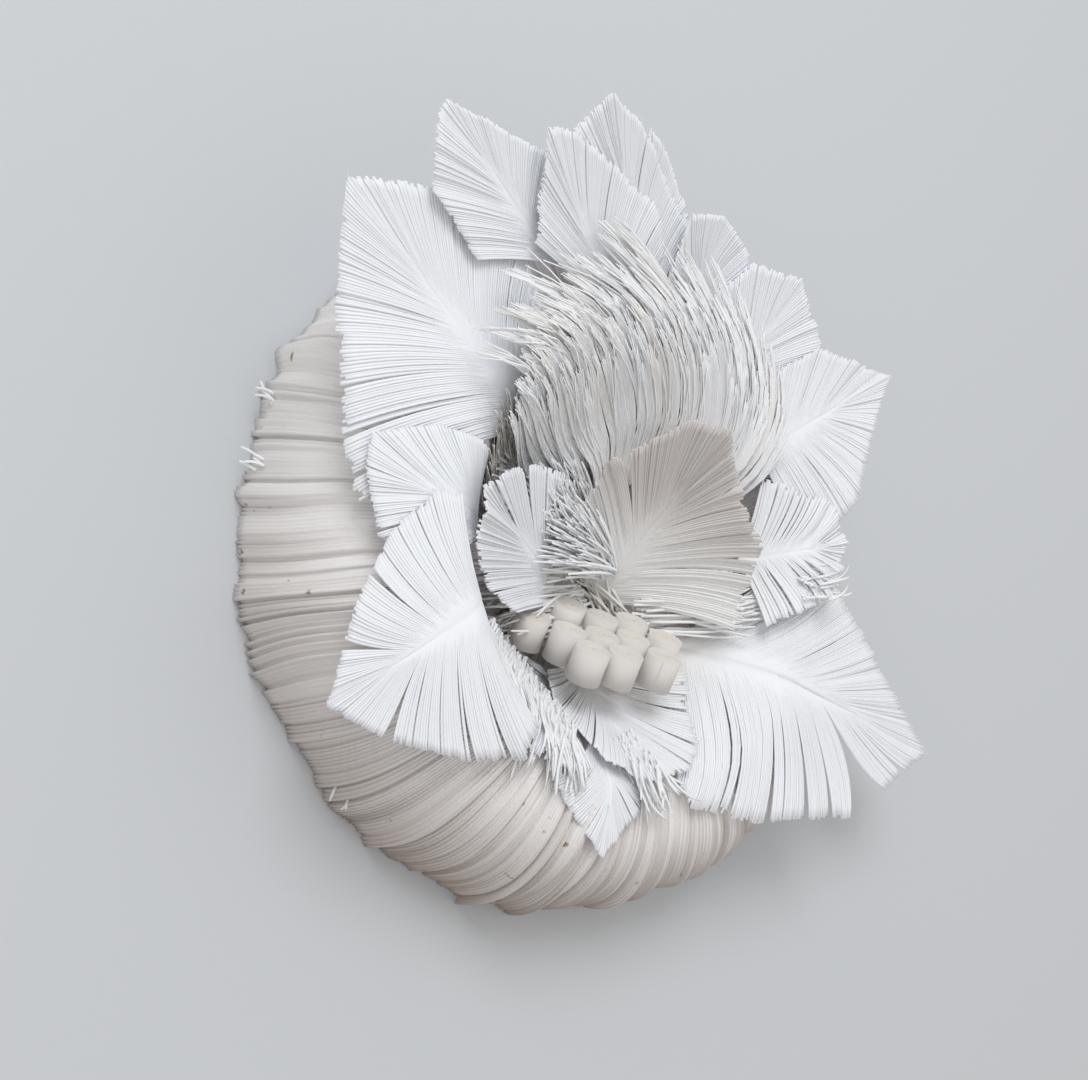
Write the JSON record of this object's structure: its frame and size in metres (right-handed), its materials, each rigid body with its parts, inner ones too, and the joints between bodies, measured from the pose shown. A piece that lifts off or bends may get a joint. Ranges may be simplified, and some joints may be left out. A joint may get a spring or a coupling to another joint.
{
  "type": "paper cut sculpture",
  "caption": "Round pod of gathered paper strips that carries fringed paper leaves, a bank of fine fringes, standing petals and a cluster of rolled coils; rests flat on its back.",
  "frame": {"origin": "middle of the flat back that the sculpture rests on", "axes": "+Z out of the back and up; +X towards the low front edge of the pod; +Y towards its right-hand side, with the tall wall at -Y and the crown leaves at -X"},
  "size_m": [0.1019, 0.0983, 0.0349],
  "materials": {
    "gathered paper": "matt white strips, gathered",
    "leaf paper": "matt white, fringed",
    "fringe paper": "matt white, finely cut",
    "coil paper": "matt warm white strip, rolled",
    "back card": "matt"
  },
  "bodies": {
    "root": {"base_disc": "back card", "pod": "gathered paper", "left_leaf": "leaf paper", "side_leaf": "leaf paper", "front_leaf": "leaf paper", "narrow_leaf": "leaf paper", "lower_leaf": "leaf paper", "apron_leaf": "leaf paper", "right_leaf": "leaf paper", "twig_leaf": "leaf paper", "crown_leaf_1": "leaf paper", "crown_leaf_2": "leaf paper", "crown_leaf_3": "leaf paper", "crown_leaf_4": "leaf paper", "crown_leaf_5": "leaf paper", "crown_leaf_6": "leaf paper", "crown_leaf_7": "leaf paper", "centre_petal": "leaf paper", "left_petal": "leaf paper", "fringe_1": "fringe paper", "fringe_2": "fringe paper", "fringe_3": "fringe paper", "fringe_4": "fringe paper", "fringe_5": "fringe paper", "coil_01": "coil paper", "coil_02": "coil paper", "coil_03": "coil paper", "coil_04": "coil paper", "coil_05": "coil paper", "coil_06": "coil paper", "coil_07": "coil paper", "coil_08": "coil paper", "coil_09": "coil paper", "coil_10": "coil paper", "coil_11": "coil paper"}
  },
  "joints": []
}
